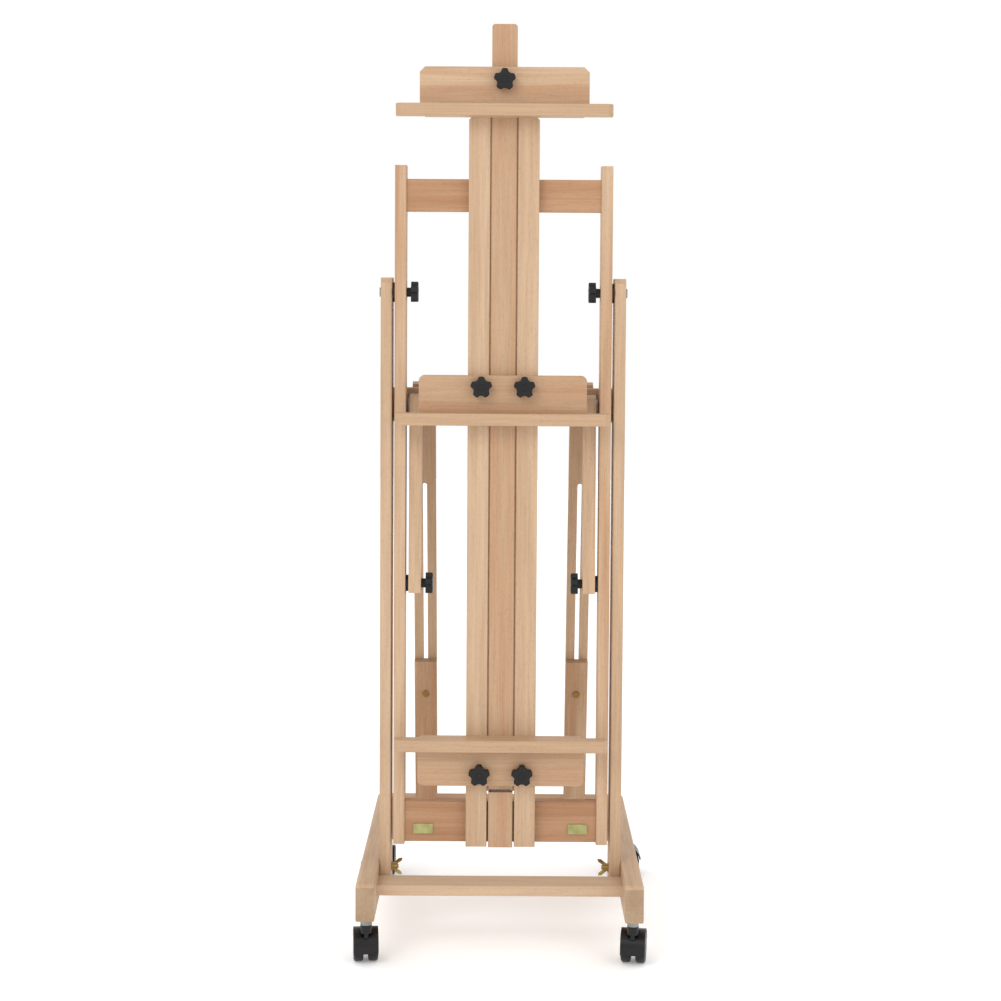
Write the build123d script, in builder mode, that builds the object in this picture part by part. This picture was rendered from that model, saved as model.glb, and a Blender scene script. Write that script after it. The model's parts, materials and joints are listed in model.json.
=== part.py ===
from build123d import *
import os
from math import atan2, cos, hypot, radians, sin, sqrt

os.makedirs("parts", exist_ok=True)

# Frame: millimetres, origin on the floor between the runners, 255 behind the front casters' stems,
# +X to the painter's right, +Y to the back, +Z up. The painter stands on the -Y side.

# Base: two runners on casters, joined by two flat cross bars
RUNNER_IN, RUNNER_OUT = 235, 270
RUNNER_FRONT, RUNNER_BACK = -290, 355
RUNNER_BOTTOM, RUNNER_TOP = 93, 163
BAR_TOP = 139.4
BAR_THICK = 20
BAR_WIDTH = 65
BAR_NEAR = 152
RUNNER_CHAMFER = 6
EASE_LARGE = 2
EASE = 1.5
EASE_SMALL = 1

# Casters: a fixed stem, a swivelling housing and a pair of wheels behind the stem
WHEEL_R = 30
WHEEL_WIDTH = 19
WHEEL_ROUND = 5
WEB_THICK = 8
WEB_GAP = 0.5
CASTER_TRAIL = 22
CASTER_X = 252.5
CASTER_Y = {-1: -255, 1: 320}
HOOD_R = 34
HOOD_THICK = 3
HOOD_WIDTH = 47
STEM_R = 5.5
STEM_TOP = 140
BOSS_R = 11
BOSS_TOP = 76
BOSS_LOW = 61
AXLE_R = 4
AXLE_INSET = 2
STEM_DEPTH = 12
STEM_BORE = 12.5
COLLAR_GAP = 1
HOOD_OPENING_TURN = 12
HOOD_OPENING_SHIFT = 8
WEB_OUTLINE = ((-8, 52), (-8, 72), (10, 72), (46, 52), (30, 20), (14, 20))
RUNNING = 0.05
CASTERS = {
    "front_left": (-1, -1, -6),
    "front_right": (1, -1, 8),
    "rear_left": (-1, 1, 180),
    "rear_right": (1, 1, 90),
}

# Uprights, hinged on bolts through the runners
UPRIGHT_IN = 213
UPRIGHT_FRONT, UPRIGHT_BACK = -146, -80
UPRIGHT_BOTTOM, UPRIGHT_TOP = 100, 1299
UPRIGHT_CHAMFER = 10
FOOT_PIVOT = (-113, 145)
BOLT_R = 4
RAIL_BOTTOM, RAIL_TOP = 1019, 1085
RAIL_THICK = 20

# Picture frame: two stiles, two rails and the mast, hung on the two top bolts
FRAME_PIVOT = (-127.5, 1271)
STILE_IN, STILE_OUT = 186, 208
STILE_FRONT, STILE_BACK = -150, -105
STILE_BOTTOM, STILE_TOP = 200, 1513
CROSS_FRONT, CROSS_BACK = -145, -125
TOP_CROSS = (1425, 1487)
LOW_CROSS = (204, 284)
STRIP_IN, STRIP_OUT = 26.5, 67
MAST_FRONT = -165
STRIP_TOP = 1604
STRIP_CHAMFER = 6
BAR_HALF = 24
TONGUE_HALF = 20
TONGUE_FRONT, TONGUE_BACK = -159, -152
GROOVE_PLAY = 0.5
BAR_BOTTOM, BAR_END = 313, 1778
BAR_CHAMFER = 4
SLIDE_GAP = 0.5
BLOCK_HALF = 23.5
BLOCK_FRONT = -169
BLOCK_TOP = 308

# Trays: a panel in front of the mast, a lip for the canvas and a channelled cleat round the mast
PANEL_HALF = 160
PANEL_THICK = 15
PANEL_FRONT = MAST_FRONT - SLIDE_GAP - PANEL_THICK
LIP_HALF = 204
LIP_DEPTH = 29.5
LIP_HEIGHT = 23
LIP_CUT = 9
CLEAT_BACK = -130
CLEAT_WALL = 18
TOP_PANEL = (1602, 1696)
MID_PANEL = (1020, 1114)
LOW_PANEL = (323, 418)
KNOB_SPREAD = 41
KNOB_HEIGHTS = {"top_holder": 1671, "canvas_tray": 1092, "lower_tray": 347.5}
PANEL_ROUND = 11
PANEL_CUT = 10
CLEAT_LOW, CLEAT_HIGH = 10, 12
CLEAT_CHAMFER = 4

# Star knobs
KNOB_LOBES = 5
KNOB_R = 20.5
VALLEY_CIRCLE = 23.5
VALLEY_R = 8
LOBE_ROUND = 3.5
KNOB_HEAD = 13
CROWN_ROUND = 2.5
HUB_R = 9
HUB_LENGTH = 9
STUD_R = 3
STUD_CLEAR = 0.2
HUB_LAP = 1
PIVOT_BORE = 20
STRUT_BORE = 18
ARM_STUD_PROUD = 5

# Stay arms, hinged on the rail and sliding in the stiles' slots
ARM_IN, ARM_OUT = 156, 180
ARM_DEPTH = 45
ARM_HINGE = (-107.5, 1052)
ARM_BOLT = (-127.5, 708)
ARM_TAIL = 17.5
ARM_CHAMFER = 8
ARM_SPACER_R = 16
SLOT_WIDTH = 9
STILE_SLOT = (696, 880)

# Rear brace: slotted struts that slide behind foot boards hinged on the rear bar
STRUT_IN, STRUT_OUT = 132.5, 177.5
STRUT_PIN = (-43, 1072)
BRACE_HINGE = (198, 143)
BRACE_OFFSET = 13
STRUT_THICK = 18
STRUT_HEAD = 22
STRUT_FOOT = 200
STRUT_SLOT = (245, 775)
FOOT_BOARD_TOP = 393
FOOT_BOARD_LOW = 12
FOOT_RAIL_TOP = 72
FOOT_RAIL_THICK = 19
STRUT_BOLT_UP = 322
PIN_PLAY = 4
STRUT_BOLT_HEAD_R = 7
STRUT_BOLT_HEAD = 2.5
STRUT_BOLT_PROUD = 16

# Fixings
FREE = 0.3
SCREW_HEAD = 1.6
SCREW_HEAD_R = 5
SCREW_SHANK_R = 2.5
SCREW_LENGTH = 60
SCREW_SPREAD = 20
SCREW_ROWS = (16, -16)
STRIP_SCREW = 32
HEAD_R = 9
HEAD_THICK = 3
WASHER = 1.5
BOLT_PROUD = 12
PIVOT_PROUD = 20
SPACER_R = 19
WING_HUB_R = 7
WING_THICK = 2.5
WING_REACH = 9
WING_TIP = 19
WING_TURN = 50
WING_OUTLINE = ((0, 7), (4, 9), (12, 16), (19, 17), (18, 12), (10, 6),
                (10, -6), (18, -12), (19, -17), (12, -16), (4, -9), (0, -7))
NUT_R = 6
NUT_THICK = 5.5
NUT_START = UPRIGHT_IN - FREE - WASHER
CATCH_X = 150
CATCH_Z = 230
CATCH_SIZE = (38, 19)
CATCH_ROUND = 2
CATCH_THICK = 3

# Hinge brackets of the arms and of the struts, behind the rail
ARM_SCREW_R = 3
HINGE_PLATE = 3
HINGE_LOW, HINGE_HIGH = ARM_HINGE[1] - 22, ARM_HINGE[1] + 24
PLATE_IN = 150
LUG_DEPTH, LUG_HEIGHT = 38, 26
LUG_PIN_PROUD = 8
EAR_THICK = 2.5
EAR_DEPTH = 28
EAR_FLANGE = 18
EAR_LOW, EAR_HIGH = 1056, 1084
EAR_PIN_PROUD = 2

# Butt hinges on the rear cross bar
HINGE_X = 90
KNUCKLE_R = 3
KNUCKLE_PIN_R = 1.5
LEAF_WIDTH = 40
LEAF_THICK = 2
LEAF_REACH = 20
LEAF_START = 2
LEAF_LAP = 1

# Derived
RAIL_BACK_FACE = UPRIGHT_BACK + RAIL_THICK
STRIP_MIDDLE = (STRIP_IN + STRIP_OUT) / 2
LOCK_HEIGHT = sum(TOP_CROSS) / 2
ARM_LENGTH = hypot(ARM_HINGE[0] - ARM_BOLT[0], ARM_HINGE[1] - ARM_BOLT[1])
ARM_LEAN = atan2(ARM_HINGE[0] - ARM_BOLT[0], ARM_HINGE[1] - ARM_BOLT[1])
BRACE_REACH = hypot(STRUT_PIN[0] - BRACE_HINGE[0], STRUT_PIN[1] - BRACE_HINGE[1])
BRACE_LENGTH = sqrt(BRACE_REACH ** 2 - BRACE_OFFSET ** 2)
BRACE_LEAN = (atan2(BRACE_HINGE[0] - STRUT_PIN[0], STRUT_PIN[1] - BRACE_HINGE[1])
              - atan2(BRACE_OFFSET, BRACE_LENGTH))
STRUT_X = (STRUT_IN + STRUT_OUT) / 2
STRUT_WIDTH = STRUT_OUT - STRUT_IN
BOARD_BACK = BRACE_OFFSET + STRUT_THICK / 2 + SLIDE_GAP
RAIL_BACK = BOARD_BACK - FOOT_RAIL_THICK


def write_piece(piece, label):
    piece.part.label = label
    export_step(piece.part, f"parts/{label}.step")


def board(x, y, z, bevel=EASE):
    """A planed board between the given limits, with its long edges eased."""
    with BuildPart() as piece:
        with BuildSketch(Plane.XY.offset(z[0])):
            with Locations(((x[0] + x[1]) / 2, (y[0] + y[1]) / 2)):
                Rectangle(abs(x[1] - x[0]), abs(y[1] - y[0]))
        extrude(amount=z[1] - z[0])
        sizes = [(abs(x[1] - x[0]), Axis.X), (abs(y[1] - y[0]), Axis.Y), (z[1] - z[0], Axis.Z)]
        chamfer(piece.edges().filter_by(max(sizes, key=lambda size: size[0])[1]), bevel)
    return piece


def box_between(x, y, z):
    """A plain solid between the given limits."""
    return Box(x[1] - x[0], y[1] - y[0], z[1] - z[0], align=Align.MIN).moved(Location((x[0], y[0], z[0])))


def drill(piece, plane, centres, radius, depth):
    """Round holes from a plane, down its normal."""
    with BuildSketch(plane) as rounds:
        with Locations(*centres):
            Circle(radius)
    with piece:
        extrude(rounds.sketch, amount=depth, mode=Mode.SUBTRACT)


def side(near, far, sign):
    """Two X limits on the left (-1) or the right (+1), low one first."""
    return tuple(sorted((sign * near, sign * far)))


def name_side(sign):
    return "left" if sign < 0 else "right"


# Base -----------------------------------------------------------------------

runner_screw_spots = []
for bar_sign in (-1, 1):
    for shift in (-SCREW_SPREAD, SCREW_SPREAD):
        spot_y = bar_sign * (BAR_NEAR + BAR_WIDTH / 2) + shift
        runner_screw_spots.append((spot_y, BAR_TOP - BAR_THICK / 2))

for sign in (-1, 1):
    runner = board(side(RUNNER_IN, RUNNER_OUT, sign), (RUNNER_FRONT, RUNNER_BACK),
                   (RUNNER_BOTTOM, RUNNER_TOP), EASE_LARGE)
    with runner:
        ends = runner.faces().filter_by(Axis.Y).edges().filter_by(Axis.X)
        chamfer(ends.group_by(Axis.Z)[-1], RUNNER_CHAMFER)
    outer = Plane.YZ.offset(RUNNER_OUT) if sign > 0 else Plane.YZ.offset(-RUNNER_OUT)
    drill(runner, outer, runner_screw_spots, SCREW_SHANK_R, -sign * (RUNNER_OUT - RUNNER_IN))
    drill(runner, outer, [FOOT_PIVOT], BOLT_R, -sign * (RUNNER_OUT - RUNNER_IN))
    stem_spots = [(sign * CASTER_X, y) for y in CASTER_Y.values()]
    drill(runner, Plane.XY.offset(RUNNER_BOTTOM), stem_spots, STEM_R, STEM_TOP - RUNNER_BOTTOM)
    write_piece(runner, f"{name_side(sign)}_runner")

for label, bar_sign in (("front", -1), ("rear", 1)):
    limits = tuple(sorted((bar_sign * BAR_NEAR, bar_sign * (BAR_NEAR + BAR_WIDTH))))
    bar = board((-RUNNER_IN, RUNNER_IN), limits, (BAR_TOP - BAR_THICK, BAR_TOP))
    spots = [spot for spot in runner_screw_spots if spot[0] * bar_sign > 0]
    depth = SCREW_LENGTH - (RUNNER_OUT - RUNNER_IN)
    drill(bar, Plane.YZ.offset(RUNNER_IN), spots, SCREW_SHANK_R, -depth)
    drill(bar, Plane.YZ.offset(-RUNNER_IN), spots, SCREW_SHANK_R, depth)
    write_piece(bar, f"{label}_cross_bar")

with BuildPart() as base_screws:
    for sign in (-1, 1):
        with BuildSketch(Plane.YZ.offset(sign * RUNNER_OUT)):
            with Locations(*runner_screw_spots):
                Circle(SCREW_HEAD_R)
        extrude(amount=sign * SCREW_HEAD)
        with BuildSketch(Plane.YZ.offset(sign * RUNNER_OUT)):
            with Locations(*runner_screw_spots):
                Circle(SCREW_SHANK_R)
        extrude(amount=-sign * SCREW_LENGTH)
write_piece(base_screws, "base_screws")

# Casters --------------------------------------------------------------------

with BuildPart() as caster_stems:
    with BuildSketch(Plane.XY.offset(BOSS_TOP - STEM_DEPTH)):
        with Locations(*[(sx * CASTER_X, CASTER_Y[sy]) for sx, sy, turn in CASTERS.values()]):
            Circle(STEM_R)
    extrude(amount=STEM_TOP - BOSS_TOP + STEM_DEPTH)
    with BuildSketch(Plane.XY.offset(BOSS_TOP + COLLAR_GAP)):
        with Locations(*[(sx * CASTER_X, CASTER_Y[sy]) for sx, sy, turn in CASTERS.values()]):
            Circle(BOSS_R)
    extrude(amount=RUNNER_BOTTOM - BOSS_TOP - COLLAR_GAP)
write_piece(caster_stems, "caster_stems")


def caster_plane(sx, sy, turn):
    """The caster's own frame: local x is the axle, local y points from the stem to the wheels."""
    return Plane(origin=(sx * CASTER_X, CASTER_Y[sy], 0),
                 x_dir=(cos(radians(turn)), -sin(radians(turn)), 0), z_dir=(0, 0, 1))


def side_plane(place, offset):
    """An upright plane across the axle: local x runs back from the stem, local y is up."""
    return Plane(origin=place.from_local_coords((offset, 0, 0)), x_dir=place.y_dir, z_dir=place.x_dir)


for label, (sx, sy, turn) in CASTERS.items():
    place = caster_plane(sx, sy, turn)
    with BuildPart() as housing:
        with BuildSketch(side_plane(place, -HOOD_WIDTH / 2)):
            with Locations((CASTER_TRAIL, WHEEL_R)):
                Circle(HOOD_R)
                Circle(HOOD_R - HOOD_THICK, mode=Mode.SUBTRACT)
            with Locations((CASTER_TRAIL + HOOD_OPENING_SHIFT, WHEEL_R - HOOD_R)):
                Rectangle(4 * HOOD_R, 2 * HOOD_R, rotation=HOOD_OPENING_TURN, mode=Mode.SUBTRACT)
        extrude(amount=HOOD_WIDTH)
        with BuildSketch(side_plane(place, -WEB_THICK / 2)):
            with BuildLine():
                Polyline(*WEB_OUTLINE, close=True)
            make_face()
        extrude(amount=WEB_THICK)
        with BuildSketch(place.offset(BOSS_LOW)):
            Circle(BOSS_R)
        extrude(amount=BOSS_TOP - BOSS_LOW)
        with BuildSketch(place.offset(BOSS_TOP)):
            Circle(STEM_R + RUNNING)
        extrude(amount=-STEM_BORE, mode=Mode.SUBTRACT)
        with BuildSketch(side_plane(place, -HOOD_WIDTH / 2)):
            with Locations((CASTER_TRAIL, WHEEL_R)):
                Circle(AXLE_R + RUNNING)
        extrude(amount=HOOD_WIDTH, mode=Mode.SUBTRACT)
    write_piece(housing, f"caster_{label}_housing")

    with BuildPart() as wheels:
        for wheel_sign in (-1, 1):
            face = side_plane(place, wheel_sign * (WEB_THICK / 2 + WEB_GAP))
            with BuildSketch(face):
                with Locations((CASTER_TRAIL, WHEEL_R)):
                    Circle(WHEEL_R)
                    Circle(AXLE_R, mode=Mode.SUBTRACT)
            extrude(amount=wheel_sign * WHEEL_WIDTH)
        circles = wheels.edges().filter_by(GeomType.CIRCLE)
        rims = circles.filter_by(lambda edge: edge.radius > WHEEL_R / 2)
        fillet(rims, WHEEL_ROUND)
        axle_half = WEB_THICK / 2 + WEB_GAP + WHEEL_WIDTH - AXLE_INSET
        axle = Solid.make_cylinder(
            AXLE_R, 2 * axle_half,
            Plane(origin=place.from_local_coords((-axle_half, CASTER_TRAIL, WHEEL_R)),
                  x_dir=place.y_dir, z_dir=place.x_dir))
    wheels.part = Compound(children=[*wheels.part.solids(), axle])
    write_piece(wheels, f"caster_{label}_wheels")


# Uprights -------------------------------------------------------------------

def across(x):
    """The plane X = x, with Y and Z as its own axes."""
    return Plane.YZ.offset(x)


def rods(plane, centres, radius, length):
    """Equal round bars, one separate solid each, from a plane along its normal."""
    with BuildSketch(plane) as rounds:
        with Locations(*centres):
            Circle(radius)
    return extrude(rounds.sketch, amount=length)


for sign in (-1, 1):
    upright = board(side(UPRIGHT_IN, RUNNER_IN, sign), (UPRIGHT_FRONT, UPRIGHT_BACK),
                    (UPRIGHT_BOTTOM, UPRIGHT_TOP), EASE_LARGE)
    with upright:
        chamfer(upright.faces().sort_by(Axis.Z)[-1].edges().filter_by(Axis.X), UPRIGHT_CHAMFER)
    inner = sign * UPRIGHT_IN
    through = sign * (RUNNER_IN - UPRIGHT_IN)
    drill(upright, across(inner), [FOOT_PIVOT], BOLT_R + RUNNING, through)
    drill(upright, across(inner), [FRAME_PIVOT], BOLT_R, through)
    write_piece(upright, f"{name_side(sign)}_upright")

cross_rail = board((-RUNNER_IN, RUNNER_IN), (UPRIGHT_BACK, RAIL_BACK_FACE), (RAIL_BOTTOM, RAIL_TOP))
write_piece(cross_rail, "upright_cross_rail")

with BuildPart() as upright_bolts:
    for sign in (-1, 1):
        add(rods(across(sign * (RUNNER_OUT + HEAD_THICK)), [FOOT_PIVOT], HEAD_R, -sign * HEAD_THICK))
        bolt_length = RUNNER_OUT - NUT_START + BOLT_PROUD
        add(rods(across(sign * RUNNER_OUT), [FOOT_PIVOT], BOLT_R, -sign * bolt_length))
        add(rods(across(sign * (UPRIGHT_IN - FREE)), [FOOT_PIVOT], HEAD_R, -sign * WASHER))
with BuildPart() as wing_nuts:
    for sign in (-1, 1):
        wing_plane = Plane(origin=(sign * NUT_START, *FOOT_PIVOT), x_dir=(-sign, 0, 0),
                           z_dir=(0, -sin(radians(WING_TURN)), cos(radians(WING_TURN))))
        with BuildSketch(wing_plane.offset(-WING_THICK / 2)):
            with BuildLine():
                Polyline(*WING_OUTLINE, close=True)
            make_face()
        extrude(amount=WING_THICK)
        with BuildSketch(across(sign * NUT_START)):
            with Locations(FOOT_PIVOT):
                Circle(WING_HUB_R)
        extrude(amount=-sign * WING_REACH)
        with BuildSketch(across(sign * NUT_START)):
            with Locations(FOOT_PIVOT):
                Circle(BOLT_R)
        extrude(amount=-sign * WING_TIP, mode=Mode.SUBTRACT)
upright_bolts.part = Compound(children=[*upright_bolts.part.solids(), *wing_nuts.part.solids()])
write_piece(upright_bolts, "upright_bolts")

with BuildPart() as pivot_bolts:
    for sign in (-1, 1):
        add(rods(across(sign * RUNNER_IN), [FRAME_PIVOT], HEAD_R, sign * HEAD_THICK))
        bolt_length = RUNNER_IN - STILE_IN + PIVOT_PROUD
        add(rods(across(sign * RUNNER_IN), [FRAME_PIVOT], BOLT_R, -sign * bolt_length))
write_piece(pivot_bolts, "pivot_bolts")

with BuildPart() as pivot_spacers:
    for sign in (-1, 1):
        with BuildSketch(across(sign * UPRIGHT_IN)):
            with Locations(FRAME_PIVOT):
                Circle(SPACER_R)
                Circle(BOLT_R, mode=Mode.SUBTRACT)
        extrude(amount=-sign * (UPRIGHT_IN - STILE_OUT - FREE))
write_piece(pivot_spacers, "pivot_spacers")


# Picture frame and mast -------------------------------------------------------

for sign in (-1, 1):
    stile = board(side(STILE_IN, STILE_OUT, sign), (STILE_FRONT, STILE_BACK), (STILE_BOTTOM, STILE_TOP))
    slot_middle = (FRAME_PIVOT[0], sum(STILE_SLOT) / 2)
    with BuildSketch(across(sign * STILE_IN)) as stile_slot:
        with Locations(slot_middle):
            SlotOverall(STILE_SLOT[1] - STILE_SLOT[0], SLOT_WIDTH, rotation=90)
    with stile:
        extrude(stile_slot.sketch, amount=sign * (STILE_OUT - STILE_IN), mode=Mode.SUBTRACT)
    drill(stile, across(sign * STILE_IN), [FRAME_PIVOT], BOLT_R + RUNNING, sign * (STILE_OUT - STILE_IN))
    write_piece(stile, f"{name_side(sign)}_stile")

for label, limits in (("top", TOP_CROSS), ("bottom", LOW_CROSS)):
    rail = board((-STILE_IN, STILE_IN), (CROSS_FRONT, CROSS_BACK), limits)
    middle = sum(limits) / 2
    spots = [(x, middle + row) for x in (-STRIP_MIDDLE, STRIP_MIDDLE) for row in SCREW_ROWS]
    if label == "top":
        drill(rail, Plane.XZ.offset(-CROSS_BACK), [(0, middle)], STUD_R + RUNNING, CROSS_BACK - CROSS_FRONT)
    drill(rail, Plane.XZ.offset(-CROSS_BACK), spots, SCREW_SHANK_R, CROSS_BACK - CROSS_FRONT)
    write_piece(rail, f"frame_{label}_rail")

strip_spots = []
for limits in (TOP_CROSS, LOW_CROSS):
    strip_spots += [(sum(limits) / 2 + row) for row in SCREW_ROWS]

for sign in (-1, 1):
    strip = board(side(STRIP_IN, STRIP_OUT, sign), (MAST_FRONT, CROSS_FRONT),
                  (STILE_BOTTOM, STRIP_TOP), EASE_SMALL)
    with strip:
        outer_top = strip.edges().filter_by(Axis.Y).group_by(Axis.Z)[-1].sort_by(Axis.X)
        chamfer(outer_top[-1] if sign > 0 else outer_top[0], STRIP_CHAMFER)
    tongue = box_between(side(TONGUE_HALF, STRIP_IN + EASE_SMALL, sign), (TONGUE_FRONT, TONGUE_BACK),
                         (BLOCK_TOP + FREE, STRIP_TOP))
    with strip:
        add(tongue)
    spots = [(sign * STRIP_MIDDLE, height) for height in strip_spots]
    drill(strip, Plane.XZ.offset(-CROSS_FRONT), spots, SCREW_SHANK_R, STRIP_SCREW - CROSS_BACK + CROSS_FRONT)
    write_piece(strip, f"{name_side(sign)}_mast_strip")

with BuildPart() as frame_screws:
    spots = [(x, height) for x in (-STRIP_MIDDLE, STRIP_MIDDLE) for height in strip_spots]
    add(rods(Plane.XZ.offset(-CROSS_BACK), spots, SCREW_HEAD_R, -SCREW_HEAD))
    add(rods(Plane.XZ.offset(-CROSS_BACK), spots, SCREW_SHANK_R, STRIP_SCREW))
write_piece(frame_screws, "frame_screws")

stop_block = board((-BLOCK_HALF, BLOCK_HALF), (BLOCK_FRONT, CROSS_FRONT), (STILE_BOTTOM, BLOCK_TOP))
write_piece(stop_block, "mast_stop_block")

with BuildPart() as catch_plates:
    with BuildSketch(Plane.XZ.offset(-CROSS_FRONT)):
        with Locations((-CATCH_X, CATCH_Z), (CATCH_X, CATCH_Z)):
            RectangleRounded(*CATCH_SIZE, CATCH_ROUND)
    extrude(amount=CATCH_THICK)
write_piece(catch_plates, "catch_plates")

centre_bar = board((-BAR_HALF, BAR_HALF), (MAST_FRONT, CROSS_FRONT - SLIDE_GAP), (BAR_BOTTOM, BAR_END))
with centre_bar:
    chamfer(centre_bar.faces().sort_by(Axis.Z)[-1].edges().filter_by(Axis.Y), BAR_CHAMFER)
for sign in (-1, 1):
    groove = box_between(side(TONGUE_HALF - GROOVE_PLAY, BAR_HALF, sign),
                         (TONGUE_FRONT - GROOVE_PLAY, TONGUE_BACK + GROOVE_PLAY), (BAR_BOTTOM, BAR_END))
    with centre_bar:
        add(groove, mode=Mode.SUBTRACT)
write_piece(centre_bar, "centre_bar")


# Trays ------------------------------------------------------------------------

def tray(label, limits, lip_below, inner, knob_spots, round_corners):
    """A panel, its lip and its cleat; inner is half the width of what the cleat runs on."""
    with BuildPart() as panel:
        with BuildSketch(Plane.XZ.offset(-PANEL_FRONT)) as face:
            with Locations((0, sum(limits) / 2)):
                Rectangle(2 * PANEL_HALF, limits[1] - limits[0])
            free_end = face.vertices().group_by(Axis.Z)[-1 if lip_below else 0]
            if round_corners:
                fillet(free_end, PANEL_ROUND)
            else:
                chamfer(free_end, PANEL_CUT)
        extrude(amount=-PANEL_THICK)
        chamfer(panel.faces().filter_by(Axis.Y).sort_by(Axis.Y)[0].edges(), EASE_SMALL)
    drill(panel, Plane.XZ.offset(-PANEL_FRONT), knob_spots, STUD_R + RUNNING, -PANEL_THICK)
    write_piece(panel, f"{label}_panel")

    lip_base = limits[0] if lip_below else limits[1] - LIP_HEIGHT
    with BuildPart() as lip:
        with BuildSketch(Plane.XY.offset(lip_base)) as plan:
            with Locations((0, PANEL_FRONT - LIP_DEPTH / 2)):
                Rectangle(2 * LIP_HALF, LIP_DEPTH)
            chamfer(plan.vertices().group_by(Axis.Y)[0], LIP_CUT)
        extrude(amount=LIP_HEIGHT)
        chamfer(lip.faces().filter_by(Axis.Z).edges(), EASE_SMALL)
    write_piece(lip, f"{label}_lip")

    low, high = limits[0] + CLEAT_LOW, limits[1] - CLEAT_HIGH
    with BuildPart() as cleat:
        with BuildSketch(Plane.XY.offset(low)):
            with Locations((0, (MAST_FRONT - SLIDE_GAP + CLEAT_BACK) / 2)):
                Rectangle(2 * (inner + SLIDE_GAP + CLEAT_WALL), CLEAT_BACK - MAST_FRONT + SLIDE_GAP)
            channel_back = CROSS_FRONT + SLIDE_GAP
            with Locations((0, (MAST_FRONT - SLIDE_GAP + channel_back) / 2)):
                Rectangle(2 * (inner + SLIDE_GAP), channel_back - MAST_FRONT + SLIDE_GAP, mode=Mode.SUBTRACT)
        extrude(amount=high - low)
        chamfer(cleat.faces().sort_by(Axis.Y)[-1].edges().filter_by(Axis.Z), CLEAT_CHAMFER)
    write_piece(cleat, f"{label}_cleat")


tray("top_holder", TOP_PANEL, True, BAR_HALF, [(0, KNOB_HEIGHTS["top_holder"])], False)
tray("canvas_tray", MID_PANEL, True, STRIP_OUT,
     [(x, KNOB_HEIGHTS["canvas_tray"]) for x in (-KNOB_SPREAD, KNOB_SPREAD)], True)
tray("lower_tray", LOW_PANEL, False, STRIP_OUT,
     [(x, KNOB_HEIGHTS["lower_tray"]) for x in (-KNOB_SPREAD, KNOB_SPREAD)], True)


# Stay arms --------------------------------------------------------------------

def arm_plane(x):
    """Across the arm at X = x: origin on its hinge, local y up the arm."""
    return Plane(origin=(x, *ARM_HINGE), x_dir=(0, cos(ARM_LEAN), -sin(ARM_LEAN)), z_dir=(1, 0, 0))


with BuildPart() as stay_arms:
    for sign in (-1, 1):
        with BuildSketch(arm_plane(sign * ARM_IN)):
            with Locations((0, -(ARM_LENGTH + ARM_TAIL) / 2)):
                Rectangle(ARM_DEPTH, ARM_LENGTH + ARM_TAIL)
            Circle(ARM_DEPTH / 2)
            with Locations((0, 0), (0, -ARM_LENGTH)):
                Circle(ARM_SCREW_R + RUNNING, mode=Mode.SUBTRACT)
        extrude(amount=sign * (ARM_OUT - ARM_IN))
    chamfer(stay_arms.edges().filter_by(Axis.X).group_by(Axis.Z)[0], ARM_CHAMFER)
write_piece(stay_arms, "stay_arms")

with BuildPart() as arm_spacers:
    for sign in (-1, 1):
        with BuildSketch(across(sign * ARM_OUT)):
            with Locations(ARM_BOLT):
                Circle(ARM_SPACER_R)
                Circle(ARM_SCREW_R + RUNNING, mode=Mode.SUBTRACT)
        extrude(amount=sign * (STILE_IN - ARM_OUT - SLIDE_GAP))
write_piece(arm_spacers, "arm_spacers")

plate_out = ARM_OUT + FREE + HINGE_PLATE
with BuildPart() as arm_hinges:
    for sign in (-1, 1):
        with BuildSketch(Plane.XZ.offset(-UPRIGHT_BACK)):
            with Locations((sign * (PLATE_IN + plate_out) / 2, (HINGE_LOW + HINGE_HIGH) / 2)):
                Rectangle(plate_out - PLATE_IN, HINGE_HIGH - HINGE_LOW)
        extrude(amount=HINGE_PLATE)
        with BuildSketch(across(sign * (ARM_OUT + FREE))):
            with Locations((UPRIGHT_BACK - LUG_DEPTH / 2, ARM_HINGE[1])):
                Rectangle(LUG_DEPTH, LUG_HEIGHT)
        extrude(amount=sign * HINGE_PLATE)
        pin_length = ARM_OUT - ARM_IN + HINGE_PLATE + LUG_PIN_PROUD
        add(rods(across(sign * plate_out), [ARM_HINGE], ARM_SCREW_R, -sign * pin_length))
        add(rods(across(sign * (ARM_IN - FREE)), [ARM_HINGE], NUT_R, -sign * NUT_THICK))


# Rear brace -------------------------------------------------------------------

brace_plane = Plane(origin=(0, *BRACE_HINGE), x_dir=(1, 0, 0), z_dir=(0, -cos(BRACE_LEAN), -sin(BRACE_LEAN)))

with BuildPart() as brace_struts:
    with BuildSketch(brace_plane.offset(BRACE_OFFSET - STRUT_THICK / 2)):
        with Locations((-STRUT_X, (STRUT_FOOT + BRACE_LENGTH + STRUT_HEAD) / 2),
                       (STRUT_X, (STRUT_FOOT + BRACE_LENGTH + STRUT_HEAD) / 2)):
            Rectangle(STRUT_WIDTH, BRACE_LENGTH + STRUT_HEAD - STRUT_FOOT)
        with Locations((-STRUT_X, sum(STRUT_SLOT) / 2), (STRUT_X, sum(STRUT_SLOT) / 2)):
            SlotOverall(STRUT_SLOT[1] - STRUT_SLOT[0], SLOT_WIDTH, rotation=90, mode=Mode.SUBTRACT)
    extrude(amount=STRUT_THICK)
    with BuildSketch(across(-RUNNER_IN)):
        with Locations(STRUT_PIN):
            Circle(STUD_R + PIN_PLAY / 2)
    extrude(amount=2 * RUNNER_IN, mode=Mode.SUBTRACT)
write_piece(brace_struts, "brace_struts")

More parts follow.
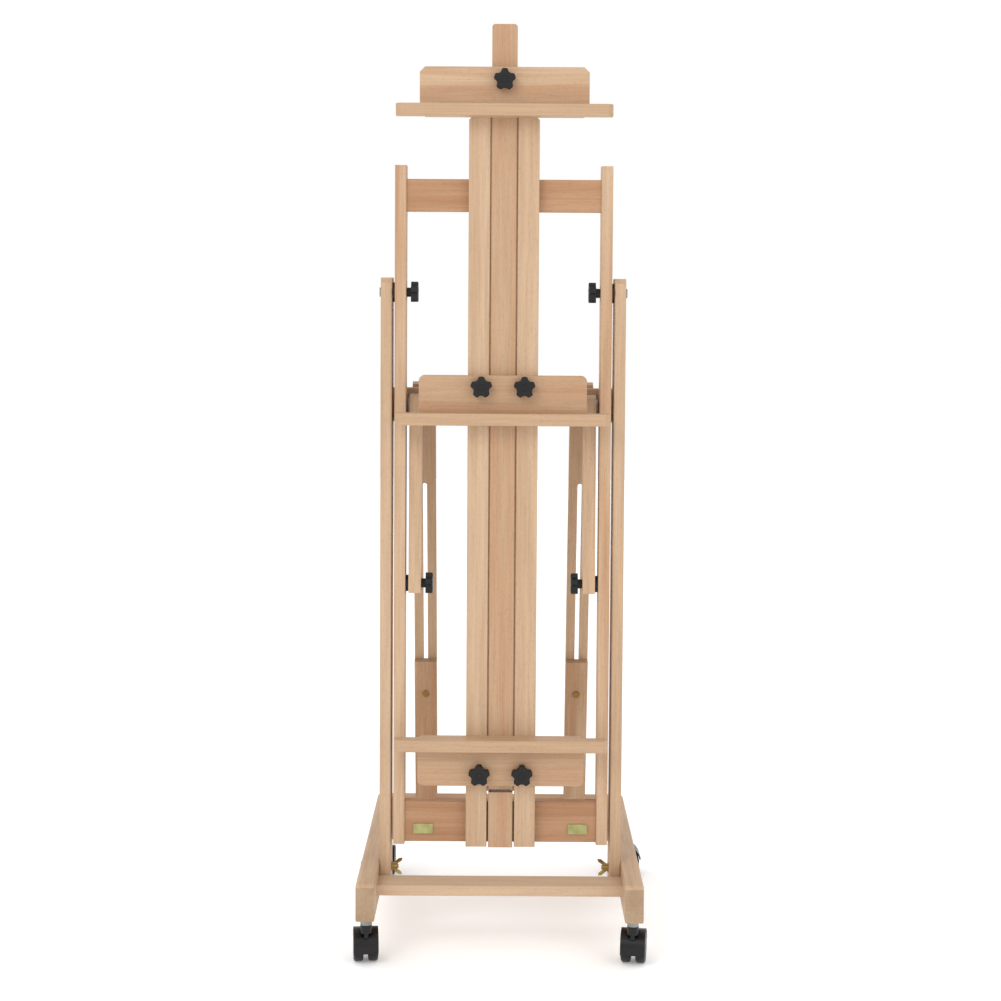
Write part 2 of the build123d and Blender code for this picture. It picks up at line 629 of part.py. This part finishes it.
with BuildPart() as foot_boards:
    with BuildSketch(brace_plane.offset(BOARD_BACK)):
        with Locations((-STRUT_X, (FOOT_BOARD_LOW + FOOT_BOARD_TOP) / 2),
                       (STRUT_X, (FOOT_BOARD_LOW + FOOT_BOARD_TOP) / 2)):
            Rectangle(STRUT_WIDTH, FOOT_BOARD_TOP - FOOT_BOARD_LOW)
        with Locations((-STRUT_X, STRUT_BOLT_UP), (STRUT_X, STRUT_BOLT_UP)):
            Circle(STUD_R, mode=Mode.SUBTRACT)
    extrude(amount=STRUT_THICK)
write_piece(foot_boards, "foot_boards")

with BuildPart() as foot_rail:
    with BuildSketch(brace_plane.offset(RAIL_BACK)):
        with Locations((0, (FOOT_BOARD_LOW + FOOT_RAIL_TOP) / 2)):
            Rectangle(2 * (RUNNER_IN - 1), FOOT_RAIL_TOP - FOOT_BOARD_LOW)
    extrude(amount=FOOT_RAIL_THICK)
write_piece(foot_rail, "foot_rail")

with BuildPart() as strut_bolts:
    bolt_spots = [(-STRUT_X, STRUT_BOLT_UP), (STRUT_X, STRUT_BOLT_UP)]
    front = BOARD_BACK + STRUT_THICK
    add(rods(brace_plane.offset(front), bolt_spots, STRUT_BOLT_HEAD_R, STRUT_BOLT_HEAD))
    add(rods(brace_plane.offset(front), bolt_spots, STUD_R, -(2 * STRUT_THICK + STRUT_BOLT_PROUD)))
write_piece(strut_bolts, "strut_bolts")

with BuildPart() as hinge_base_leaves:
    for x in (-HINGE_X, HINGE_X):
        with BuildSketch(Plane.XY.offset(BAR_TOP)):
            leaf_y = BRACE_HINGE[0] + KNUCKLE_R + FREE + LEAF_REACH / 2 - LEAF_START
            with Locations((x, leaf_y)):
                Rectangle(LEAF_WIDTH, LEAF_REACH - 2 * LEAF_START)
            for end in (-LEAF_WIDTH * 3 / 8, LEAF_WIDTH * 3 / 8):
                with Locations((x + end, BRACE_HINGE[0] + KNUCKLE_R)):
                    Rectangle(LEAF_WIDTH / 4, 2 * KNUCKLE_R)
        extrude(amount=LEAF_THICK)
        for end in (-LEAF_WIDTH / 2, LEAF_WIDTH / 4):
            with BuildSketch(across(x + end)):
                with Locations(BRACE_HINGE):
                    Circle(KNUCKLE_R)
            extrude(amount=LEAF_WIDTH / 4)
        with BuildSketch(across(x - LEAF_WIDTH / 2)):
            with Locations(BRACE_HINGE):
                Circle(KNUCKLE_PIN_R)
        extrude(amount=LEAF_WIDTH)
write_piece(hinge_base_leaves, "hinge_base_leaves")

with BuildPart() as hinge_flap_leaves:
    for x in (-HINGE_X, HINGE_X):
        with BuildSketch(across(x - LEAF_WIDTH / 4 + FREE)):
            with Locations(BRACE_HINGE):
                Circle(KNUCKLE_R)
        extrude(amount=LEAF_WIDTH / 2 - 2 * FREE)
        with BuildSketch(brace_plane.offset(RAIL_BACK - LEAF_THICK)):
            with Locations((x, LEAF_REACH / 2 + LEAF_LAP)):
                Rectangle(LEAF_WIDTH / 2 - 2 * FREE, LEAF_REACH + 2 * LEAF_LAP)
        extrude(amount=LEAF_THICK)
        with BuildSketch(across(x - LEAF_WIDTH / 2)):
            with Locations(BRACE_HINGE):
                Circle(KNUCKLE_PIN_R + RUNNING)
        extrude(amount=LEAF_WIDTH, mode=Mode.SUBTRACT)
write_piece(hinge_flap_leaves, "hinge_flap_leaves")

with BuildPart() as strut_hinges:
    for sign in (-1, 1):
        for face, out in ((STRUT_IN - FREE, -1), (STRUT_OUT + FREE, 1)):
            with BuildSketch(across(sign * face)):
                with Locations((RAIL_BACK_FACE + EAR_DEPTH / 2, (EAR_LOW + EAR_HIGH) / 2)):
                    Rectangle(EAR_DEPTH, EAR_HIGH - EAR_LOW)
            extrude(amount=sign * out * EAR_THICK)
            with BuildSketch(Plane.XZ.offset(-RAIL_BACK_FACE)):
                with Locations((sign * (face + out * EAR_FLANGE / 2), (EAR_LOW + EAR_HIGH) / 2)):
                    Rectangle(EAR_FLANGE, EAR_HIGH - EAR_LOW)
            extrude(amount=-EAR_THICK)
        pin_reach = FREE + EAR_THICK + EAR_PIN_PROUD
        add(rods(across(sign * (STRUT_IN - pin_reach)), [STRUT_PIN], STUD_R,
                 sign * (STRUT_WIDTH + 2 * pin_reach)))
strut_hinges.part = Compound(children=[*strut_hinges.part.solids(), *arm_hinges.part.solids()])
write_piece(strut_hinges, "upright_hinges")


# Knobs ------------------------------------------------------------------------

def star_knob(label, plane, stud_length=0.0, bore_r=0.0, bore_depth=0.0):
    """A five-lobed knob: its plane is the back of its hub, and the normal points to the hand."""
    with BuildPart() as knob:
        with BuildSketch(plane):
            Circle(HUB_R)
        extrude(amount=HUB_LENGTH)
        with BuildSketch(plane.offset(HUB_LENGTH - HUB_LAP)) as star:
            Circle(KNOB_R)
            with PolarLocations(VALLEY_CIRCLE, KNOB_LOBES, start_angle=90 + 180 / KNOB_LOBES):
                Circle(VALLEY_R, mode=Mode.SUBTRACT)
            fillet(star.vertices(), LOBE_ROUND)
        extrude(amount=KNOB_HEAD + HUB_LAP)
        crown = knob.faces().filter_by(GeomType.PLANE).sort_by(Axis(plane.origin, plane.z_dir))[-1]
        fillet(crown.edges(), CROWN_ROUND)
        if bore_depth:
            with BuildSketch(plane):
                Circle(bore_r + RUNNING)
            extrude(amount=bore_depth, mode=Mode.SUBTRACT)
        if stud_length:
            with BuildSketch(plane):
                Circle(STUD_R)
            extrude(amount=-stud_length)
    write_piece(knob, label)


tray_stud = MAST_FRONT - (PANEL_FRONT - SLIDE_GAP) - STUD_CLEAR


def facing(x, y, z, normal, upward=(0, 0, 1)):
    """A knob's plane at a point, with its first lobe pointing up."""
    return Plane(origin=(x, y, z), x_dir=Vector(*upward).cross(Vector(*normal)), z_dir=normal)


place = facing(0, PANEL_FRONT - SLIDE_GAP, KNOB_HEIGHTS["top_holder"], (0, -1, 0))
star_knob("top_holder_knob", place, tray_stud)
for label in ("canvas_tray", "lower_tray"):
    for sign in (-1, 1):
        place = facing(sign * KNOB_SPREAD, PANEL_FRONT - SLIDE_GAP, KNOB_HEIGHTS[label], (0, -1, 0))
        star_knob(f"{label}_{name_side(sign)}_knob", place, tray_stud)

star_knob("mast_lock_knob", facing(0, CROSS_BACK + SLIDE_GAP, LOCK_HEIGHT, (0, 1, 0)),
          CROSS_BACK - CROSS_FRONT + SLIDE_GAP)

for sign in (-1, 1):
    place = facing(sign * (STILE_IN - SLIDE_GAP), *FRAME_PIVOT, (-sign, 0, 0))
    star_knob(f"{name_side(sign)}_pivot_knob", place, bore_r=BOLT_R, bore_depth=PIVOT_BORE)
    place = facing(sign * (ARM_IN - SLIDE_GAP), *ARM_BOLT, (-sign, 0, 0))
    star_knob(f"{name_side(sign)}_arm_knob", place, ARM_OUT - ARM_IN + ARM_STUD_PROUD)
    back = brace_plane.offset(BRACE_OFFSET - STRUT_THICK / 2 - SLIDE_GAP)
    place = Plane(origin=back.from_local_coords((sign * STRUT_X, STRUT_BOLT_UP, 0)),
                  x_dir=(1, 0, 0), z_dir=-brace_plane.z_dir)
    star_knob(f"{name_side(sign)}_strut_knob", place, bore_r=STUD_R, bore_depth=STRUT_BORE)
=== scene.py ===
"""Studio look for the wooden artist easel."""

from math import atan2, cos, pi, radians, sin

import bpy
from mathutils import Euler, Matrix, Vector
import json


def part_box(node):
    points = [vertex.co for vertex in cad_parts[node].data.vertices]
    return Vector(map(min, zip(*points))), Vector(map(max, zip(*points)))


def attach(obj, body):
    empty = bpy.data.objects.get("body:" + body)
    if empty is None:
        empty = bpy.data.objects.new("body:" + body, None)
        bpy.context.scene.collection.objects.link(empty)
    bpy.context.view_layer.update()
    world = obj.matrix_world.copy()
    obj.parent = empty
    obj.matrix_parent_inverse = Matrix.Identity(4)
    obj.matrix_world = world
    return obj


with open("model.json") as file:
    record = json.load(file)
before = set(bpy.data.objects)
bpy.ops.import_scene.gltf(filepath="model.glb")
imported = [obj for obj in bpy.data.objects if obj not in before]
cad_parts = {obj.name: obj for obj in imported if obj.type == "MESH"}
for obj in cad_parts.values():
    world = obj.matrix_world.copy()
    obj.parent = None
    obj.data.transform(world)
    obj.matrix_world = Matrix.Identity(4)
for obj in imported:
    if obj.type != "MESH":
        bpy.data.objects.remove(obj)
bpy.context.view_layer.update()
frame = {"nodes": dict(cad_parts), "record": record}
NODES = frame["nodes"]

# Colours as seen, 0 to 255
BEECH_PALE = (200, 170, 139)
BEECH_MID = (188, 155, 123)
BEECH_PINK = (184, 143, 109)
BEECH_DEEP = (168, 122, 86)
FLECK_TONE = 0.87
PORE_TONE = 0.80
END_TONE = 0.74
BLACK = (13, 12, 13)
BLACK_SATIN = (14, 12, 15)
ZINC = (150, 150, 148)
YELLOW_ZINC = (178, 152, 92)
CATCH = (150, 148, 96)
WHITE = (255, 255, 255)

# Wood pattern, in metres of the real object
FIGURE_SCALE = (34.0, 34.0, 1.6)
STREAK_SCALE = (260.0, 260.0, 7.0)
FLECK_SCALE = (620.0, 620.0, 130.0)
PORE_SCALE = (1900.0, 1900.0, 90.0)
EASED_EDGE = 0.0007
PLASTIC_SPECULAR = 0.35
BEECH_SPECULAR = 0.38
STREAK_TONE = 0.88
BEECH_ROUGHNESS = (0.46, 0.58)
BEECH_BUMP = (0.12, 0.0004)
WEAR_SCALE = 55.0
WEAR_TONE = 1.35
PLATING_SCALE = 90.0
PLATING_TONE = 0.82
FINE_BUMP = 0.0002
EASE_ANGLE = radians(40)

KNOB_RING_R = 0.0062
KNOB_RING_THICK = 0.0007

# Turns that bring each board's grain to the pattern's own Z
GRAIN_X = (0.0, radians(90), 0.0)
GRAIN_Y = (radians(-90), 0.0, 0.0)
GRAIN_Z = (0.0, 0.0, 0.0)

FLOOR_GLOW = 0.16
FLOOR_REACH = 9.0
# name, place, target, size, energy in watts, colour
LIGHTS = (
    ("key", (-1.7, -3.2, 3.3), (0, 0, 1.1), (1.6, 1.6), 36, (255, 252, 248)),
    ("fill", (2.2, -3.0, 1.6), (0, 0, 0.8), (1.4, 2.2), 12, (246, 249, 255)),
)

CAMERA_PLACE = (0.0, -3.763, 1.274)
CAMERA_PITCH = radians(3.31)
CAMERA_ROLL = radians(-0.36)
CAMERA_LENS = 67.87
CAMERA_SENSOR = 36.0
CAMERA_SHIFT = (-0.003, -0.10)


def linear(rgb):
    out = []
    for value in rgb:
        v = value / 255
        out.append(v / 12.92 if v <= 0.04045 else ((v + 0.055) / 1.055) ** 2.4)
    return (*out, 1.0)


class Tree:
    """A material's node tree with short helpers."""

    def __init__(self, name):
        self.material = bpy.data.materials.new(name)
        self.material.use_nodes = True
        self.nodes = self.material.node_tree.nodes
        self.links = self.material.node_tree.links
        self.shader = self.nodes["Principled BSDF"]
        sockets = self.nodes.new("ShaderNodeTexCoord").outputs
        self.place = sockets["Object"]
        self.facing = sockets["Normal"]

    def link(self, value, socket):
        if isinstance(value, bpy.types.NodeSocket):
            self.links.new(value, socket)
        else:
            socket.default_value = value

    def mapped(self, turn, offset, scale):
        turned = self.nodes.new("ShaderNodeMapping")
        turned.vector_type = "POINT"
        self.link(self.place, turned.inputs["Vector"])
        turned.inputs["Rotation"].default_value = turn
        turned.inputs["Location"].default_value = offset
        stretched = self.nodes.new("ShaderNodeVectorMath")
        stretched.operation = "MULTIPLY"
        self.link(turned.outputs["Vector"], stretched.inputs[0])
        stretched.inputs[1].default_value = scale
        return stretched.outputs["Vector"]

    def noise(self, vector, scale=1.0, detail=3.0, roughness=0.5, distortion=0.0):
        node = self.nodes.new("ShaderNodeTexNoise")
        self.link(vector, node.inputs["Vector"])
        node.inputs["Scale"].default_value = scale
        node.inputs["Detail"].default_value = detail
        node.inputs["Roughness"].default_value = roughness
        node.inputs["Distortion"].default_value = distortion
        return node.outputs["Fac"]

    def remap(self, value, low, high, to_low=0.0, to_high=1.0):
        node = self.nodes.new("ShaderNodeMapRange")
        node.interpolation_type = "SMOOTHSTEP"
        self.link(value, node.inputs["Value"])
        node.inputs["From Min"].default_value = low
        node.inputs["From Max"].default_value = high
        node.inputs["To Min"].default_value = to_low
        node.inputs["To Max"].default_value = to_high
        return node.outputs["Result"]

    def mix(self, factor, first, second, mode="MIX"):
        node = self.nodes.new("ShaderNodeMix")
        node.data_type = "RGBA"
        node.blend_type = mode
        self.link(factor, node.inputs["Factor"])
        self.link(first, node.inputs["A"])
        self.link(second, node.inputs["B"])
        return node.outputs["Result"]

    def end_grain(self, along):
        """1 on a face that is cut across the grain, 0 along it."""
        node = self.nodes.new("ShaderNodeVectorMath")
        node.operation = "DOT_PRODUCT"
        self.link(self.facing, node.inputs[0])
        node.inputs[1].default_value = along
        size = self.nodes.new("ShaderNodeMath")
        size.operation = "ABSOLUTE"
        self.link(node.outputs["Value"], size.inputs[0])
        return self.remap(size.outputs[0], 0.80, 0.97)

    def bump(self, height, strength, distance):
        node = self.nodes.new("ShaderNodeBump")
        self.link(height, node.inputs["Height"])
        node.inputs["Strength"].default_value = strength
        node.inputs["Distance"].default_value = distance
        self.link(node.outputs["Normal"], self.shader.inputs["Normal"])


def grey(value):
    return (value, value, value, 1.0)


def beech(name, turn, offset, pale, dark):
    """Beech with its grain along one board: broad figure, fine streaks, flecks and pores."""
    tree = Tree(name)
    figure = tree.noise(tree.mapped(turn, offset, FIGURE_SCALE), detail=4.0, distortion=0.6)
    streak = tree.noise(tree.mapped(turn, offset, STREAK_SCALE), detail=3.0, roughness=0.6)
    fleck = tree.noise(tree.mapped(turn, offset, FLECK_SCALE), detail=1.0)
    pore = tree.noise(tree.mapped(turn, offset, PORE_SCALE), detail=1.0)
    base = tree.mix(tree.remap(figure, 0.30, 0.70), linear(pale), linear(dark))
    tone = tree.mix(tree.remap(streak, 0.35, 0.70), grey(1.0), grey(STREAK_TONE))
    base = tree.mix(1.0, base, tone, "MULTIPLY")
    flecks = tree.remap(fleck, 0.60, 0.72)
    base = tree.mix(1.0, base, tree.mix(flecks, grey(1.0), grey(FLECK_TONE)), "MULTIPLY")
    pores = tree.remap(pore, 0.64, 0.74)
    base = tree.mix(1.0, base, tree.mix(pores, grey(1.0), grey(PORE_TONE)), "MULTIPLY")
    ends = tree.end_grain(Euler(turn).to_matrix().inverted() @ Vector((0, 0, 1)))
    base = tree.mix(1.0, base, tree.mix(ends, grey(1.0), grey(END_TONE)), "MULTIPLY")
    tree.link(base, tree.shader.inputs["Base Color"])
    tree.link(tree.remap(streak, 0.3, 0.7, *BEECH_ROUGHNESS), tree.shader.inputs["Roughness"])
    tree.shader.inputs["Specular IOR Level"].default_value = BEECH_SPECULAR
    tree.bump(tree.mix(0.5, streak, pores), *BEECH_BUMP)
    return tree.material


def plastic(name, rgb, gloss, grit_scale, grit):
    """Moulded plastic with a fine surface grain and faint handling marks."""
    tree = Tree(name)
    still = tree.mapped(GRAIN_Z, (0.0, 0.0, 0.0), (1.0, 1.0, 1.0))
    grain = tree.noise(still, grit_scale, 2.0)
    wear = tree.noise(still, WEAR_SCALE, 3.0)
    tone = tree.mix(tree.remap(wear, 0.35, 0.7), grey(1.0), grey(WEAR_TONE))
    tree.link(tree.mix(1.0, linear(rgb), tone, "MULTIPLY"), tree.shader.inputs["Base Color"])
    tree.link(tree.remap(wear, 0.3, 0.7, gloss - 0.06, gloss + 0.08), tree.shader.inputs["Roughness"])
    tree.shader.inputs["Specular IOR Level"].default_value = PLASTIC_SPECULAR
    tree.bump(grain, grit, FINE_BUMP)
    return tree.material


def metal(name, rgb, rough):
    """Plated steel with a slightly uneven plating."""
    tree = Tree(name)
    still = tree.mapped(GRAIN_Z, (0.0, 0.0, 0.0), (1.0, 1.0, 1.0))
    uneven = tree.noise(still, PLATING_SCALE, 3.0)
    tone = tree.mix(tree.remap(uneven, 0.3, 0.7), grey(1.0), grey(PLATING_TONE))
    tree.link(tree.mix(1.0, linear(rgb), tone, "MULTIPLY"), tree.shader.inputs["Base Color"])
    tree.shader.inputs["Metallic"].default_value = 1.0
    tree.link(tree.remap(uneven, 0.3, 0.7, rough, rough + 0.12), tree.shader.inputs["Roughness"])
    tree.bump(uneven, 0.08, FINE_BUMP)
    return tree.material


def lean(node):
    """The turn that sets the grain along a board leaning in the YZ plane."""
    vertices = [v.co for v in NODES[node].data.vertices]
    top = max(vertices, key=lambda co: co.z)
    low = min(vertices, key=lambda co: co.z)
    return (atan2(top.y - low.y, top.z - low.z), 0.0, 0.0)


def dress(node, material):
    for slot in NODES[node].material_slots:
        slot.material = material


def ease(node, width):
    """A small rounded edge that catches the light."""
    modifier = NODES[node].modifiers.new("eased_edge", "BEVEL")
    modifier.width = width
    modifier.segments = 2
    modifier.limit_method = "ANGLE"
    modifier.angle_limit = EASE_ANGLE
    modifier.harden_normals = True
    modifier.use_clamp_overlap = True


ALONG_X = {
    "front_cross_bar": (BEECH_PALE, BEECH_PALE),
    "rear_cross_bar": (BEECH_MID, BEECH_PINK),
    "upright_cross_rail": (BEECH_MID, BEECH_PINK),
    "frame_top_rail": (BEECH_PINK, BEECH_DEEP),
    "frame_bottom_rail": (BEECH_DEEP, BEECH_PINK),
    "top_holder_panel": (BEECH_PALE, BEECH_PINK),
    "top_holder_lip": (BEECH_MID, BEECH_MID),
    "top_holder_cleat": (BEECH_MID, BEECH_PINK),
    "canvas_tray_panel": (BEECH_MID, BEECH_PINK),
    "canvas_tray_lip": (BEECH_MID, BEECH_MID),
    "canvas_tray_cleat": (BEECH_MID, BEECH_PINK),
    "lower_tray_panel": (BEECH_MID, BEECH_PINK),
    "lower_tray_lip": (BEECH_MID, BEECH_MID),
    "lower_tray_cleat": (BEECH_MID, BEECH_PINK),
    "foot_rail": (BEECH_MID, BEECH_PINK),
}
ALONG_Y = {
    "left_runner": (BEECH_PALE, BEECH_MID),
    "right_runner": (BEECH_PALE, BEECH_MID),
}
ALONG_Z = {
    "left_upright": (BEECH_PALE, BEECH_MID),
    "right_upright": (BEECH_PALE, BEECH_MID),
    "left_stile": (BEECH_PALE, BEECH_PINK),
    "right_stile": (BEECH_PALE, BEECH_PINK),
    "left_mast_strip": (BEECH_PALE, BEECH_MID),
    "right_mast_strip": (BEECH_PALE, BEECH_MID),
    "mast_stop_block": (BEECH_MID, BEECH_PINK),
    "centre_bar": (BEECH_MID, BEECH_PINK),
}
KNOB_CENTRES = {
    "top_holder_knob": 1.671,
    "canvas_tray_left_knob": 1.092,
    "canvas_tray_right_knob": 1.092,
    "lower_tray_left_knob": 0.3475,
    "lower_tray_right_knob": 0.3475,
}
LEANING = {
    "stay_arms": (BEECH_PALE, BEECH_MID),
    "brace_struts": (BEECH_PALE, BEECH_PALE),
    "foot_boards": (BEECH_PALE, BEECH_PINK),
}


def dress_wood():
    groups = ((ALONG_X, GRAIN_X), (ALONG_Y, GRAIN_Y), (ALONG_Z, GRAIN_Z), (LEANING, None))
    count = 0
    for group, turn in groups:
        for node, (pale, dark) in group.items():
            count += 1
            offset = (0.37 * count, 0.53 * count, 0.71 * count)
            along = turn if turn is not None else lean(node)
            dress(node, beech("beech_" + node, along, offset, pale, dark))
            ease(node, EASED_EDGE)


def dress_hardware():
    knob = plastic("knob_plastic", BLACK, 0.44, 900.0, 0.10)
    shell = plastic("caster_plastic", BLACK_SATIN, 0.30, 700.0, 0.06)
    tread = plastic("wheel_plastic", BLACK, 0.40, 700.0, 0.08)
    catch = plastic("catch_plate", CATCH, 0.42, 600.0, 0.08)
    zinc = metal("zinc_plate", ZINC, 0.32)
    yellow = metal("yellow_zinc_plate", YELLOW_ZINC, 0.30)
    by_slot = {
        "black_plastic": knob,
        "caster_black": shell,
        "wheel_black": tread,
        "pale_catch": catch,
        "zinc_steel": zinc,
        "yellow_zinc": yellow,
    }
    for part in frame["record"]["subparts"]:
        if part["material_slot"] in by_slot:
            dress(part["node"], by_slot[part["material_slot"]])
    knob_rings(knob)


def ring(name, centre, radius, thick, turns=48, sides=8):
    """A round bead standing on a face that looks along -Y."""
    mesh = bpy.data.meshes.new(name)
    points = []
    for i in range(turns):
        a = 2 * pi * i / turns
        for k in range(sides):
            b = 2 * pi * k / sides
            reach = radius + thick * cos(b)
            offset = Vector((reach * cos(a), thick * sin(b), reach * sin(a)))
            points.append(centre + offset)
    faces = []
    for i in range(turns):
        for k in range(sides):
            here, ahead = i * sides, ((i + 1) % turns) * sides
            faces.append((here + k, ahead + k, ahead + (k + 1) % sides, here + (k + 1) % sides))
    mesh.from_pydata(points, [], faces)
    mesh.shade_smooth()
    bead = bpy.data.objects.new(name, mesh)
    bpy.context.scene.collection.objects.link(bead)
    return bead


def knob_rings(material):
    """The moulded ring round the centre of each clamp knob that faces the painter."""
    for node, height in KNOB_CENTRES.items():
        low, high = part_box(node)
        centre = Vector(((low.x + high.x) / 2, low.y, height))
        bead = ring(node + "_ring", centre, KNOB_RING_R, KNOB_RING_THICK)
        bead.data.materials.append(material)
        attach(bead, node)


def area(name, place, target, size, energy, rgb):
    light = bpy.data.lights.new(name, "AREA")
    light.shape = "RECTANGLE"
    light.size, light.size_y = size
    light.energy = energy
    light.color = linear(rgb)[:3]
    holder = bpy.data.objects.new(name, light)
    holder.location = place
    holder.rotation_euler = (Vector(target) - Vector(place)).to_track_quat("-Z", "Y").to_euler()
    bpy.context.scene.collection.objects.link(holder)


def studio():
    """A white sweep, soft front light and a bright surround."""
    mesh = bpy.data.meshes.new("studio_floor")
    corners = [(x * FLOOR_REACH, y * FLOOR_REACH, 0) for x, y in ((-1, -1), (1, -1), (1, 1), (-1, 1))]
    mesh.from_pydata(corners, [], [(0, 1, 2, 3)])
    floor = bpy.data.objects.new("studio_floor", mesh)
    bpy.context.scene.collection.objects.link(floor)
    tree = Tree("studio_white")
    tree.shader.inputs["Base Color"].default_value = linear(WHITE)
    tree.shader.inputs["Roughness"].default_value = 0.9
    tree.shader.inputs["Specular IOR Level"].default_value = 0.0
    tree.shader.inputs["Emission Color"].default_value = linear(WHITE)
    tree.shader.inputs["Emission Strength"].default_value = FLOOR_GLOW
    mesh.materials.append(tree.material)

    world = bpy.data.worlds.new("surround")
    bpy.context.scene.world = world
    world.use_nodes = True
    background = world.node_tree.nodes["Background"]
    background.inputs["Color"].default_value = grey(1.0)
    background.inputs["Strength"].default_value = 1.0

    for light in LIGHTS:
        area(*light)
    bpy.context.scene.view_settings.view_transform = "Standard"
    bpy.context.scene.view_settings.look = "None"


def camera():
    data = bpy.data.cameras.new("photo_camera")
    data.sensor_width = CAMERA_SENSOR
    data.lens = CAMERA_LENS
    data.shift_x, data.shift_y = CAMERA_SHIFT
    eye = bpy.data.objects.new("photo_camera", data)
    eye.location = CAMERA_PLACE
    eye.rotation_euler = (radians(90) - CAMERA_PITCH, CAMERA_ROLL, 0.0)
    bpy.context.scene.collection.objects.link(eye)
    bpy.context.scene.camera = eye


dress_wood()
dress_hardware()
studio()
camera()
